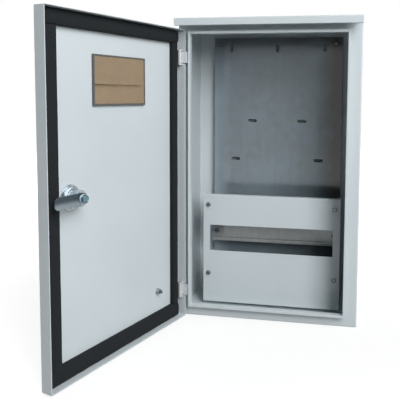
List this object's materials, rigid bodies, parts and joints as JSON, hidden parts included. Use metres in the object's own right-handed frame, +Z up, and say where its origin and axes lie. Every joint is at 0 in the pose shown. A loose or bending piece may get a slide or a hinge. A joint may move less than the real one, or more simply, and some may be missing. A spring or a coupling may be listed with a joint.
{
  "type": "metal electrical enclosure",
  "caption": "Wall-hung sheet-steel meter cabinet with rain visor, hinged windowed door, turn lock, slotted mounting plate, DIN rail and breaker cover panel.",
  "frame": {"origin": "middle of the four wall-fixing holes, on the outside of the back", "axes": "X to the right seen from the front, Y towards the wall, Z up; the door side faces -Y"},
  "size_m": [0.3908, 0.4343, 0.5],
  "materials": {
    "grey_paint": "light grey powder coat, fine orange peel",
    "galvanised_sheet": "bright zinc-coated sheet, soft reflections",
    "hinge_zinc": "bright zinc-plated hinge",
    "zinc_steel": "dull zinc plating",
    "lock_chrome": "dark polished plating",
    "black_foam": "matt black foamed seal",
    "grey_seal": "matt grey strip",
    "clear_pane": "clear acrylic",
    "kraft_paper": "brown protective paper"
  },
  "bodies": {
    "cabinet": {"cabinet_shell": "grey_paint", "cover_panel": "grey_paint", "upper_cabinet_leaf": "hinge_zinc", "lower_cabinet_leaf": "hinge_zinc", "mounting_plate": "galvanised_sheet", "din_rail": "galvanised_sheet", "plate_studs": "zinc_steel", "plate_spacers": "zinc_steel", "plate_nuts": "zinc_steel", "cover_posts": "zinc_steel", "post_nuts": "zinc_steel", "cover_screws": "zinc_steel", "rail_spacers": "zinc_steel", "rail_screws": "zinc_steel", "rail_nuts": "zinc_steel", "earth_stud": "zinc_steel", "earth_washer": "zinc_steel", "earth_nut": "zinc_steel"},
    "door": {"door_panel": "grey_paint", "door_gasket": "black_foam", "upper_hinge_fork": "hinge_zinc", "lower_hinge_fork": "hinge_zinc", "upper_hinge_pin": "zinc_steel", "lower_hinge_pin": "zinc_steel", "window_seal": "grey_seal", "window_pane": "clear_pane", "upper_paper": "kraft_paper", "lower_paper": "kraft_paper", "door_earth_stud": "zinc_steel", "door_earth_washer": "zinc_steel", "door_earth_nut": "zinc_steel", "lock_body": "lock_chrome", "lock_washer": "lock_chrome", "lock_nut": "lock_chrome"},
    "latch": {"lock_plug": "lock_chrome", "lock_cam": "lock_chrome", "cam_bolt": "lock_chrome", "cam_washer": "lock_chrome"}
  },
  "joints": [
    {"name": "door_hinge", "type": "hinge", "parent": "cabinet", "child": "door", "pos_m": [-0.145, -0.15, 0], "axis": [0, 0, -1], "range_deg": [-107.1, 12]},
    {"name": "latch_turn", "type": "hinge", "parent": "door", "child": "latch", "pos_m": [-0.20675, -0.38472, -0.00775], "axis": [-0.9558, 0.294, 0], "range_deg": [0, 90]}
  ]
}
